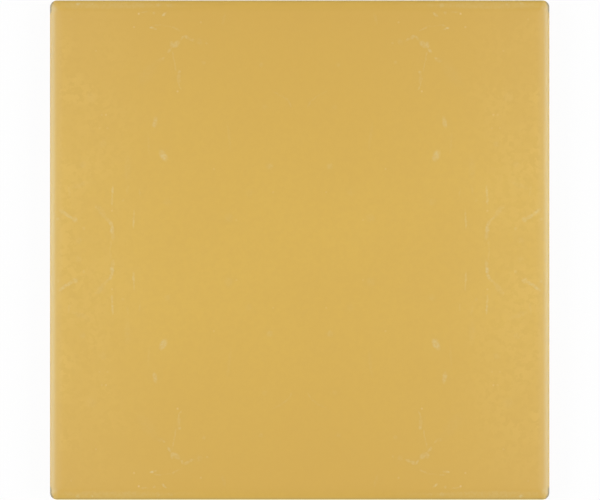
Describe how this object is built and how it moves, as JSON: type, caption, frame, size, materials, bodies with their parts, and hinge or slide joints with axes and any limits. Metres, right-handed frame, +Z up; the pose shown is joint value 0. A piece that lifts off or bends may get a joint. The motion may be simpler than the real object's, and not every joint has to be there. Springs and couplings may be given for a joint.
{
  "type": "ceramic floor tile",
  "caption": "Square glazed floor tile with a cushioned edge, rounded corners and a ribbed keying back, bedded in adhesive to make a hard floor.",
  "frame": {"origin": "middle of the back, on the plane of the rib tops that the tile lies on", "axes": "+Z up through the glazed face, X and Y along the sides"},
  "size_m": [0.2, 0.2, 0.008],
  "materials": {
    "glaze": "satin"
  },
  "bodies": {
    "root": {"floor_tile": "glaze"}
  },
  "joints": []
}
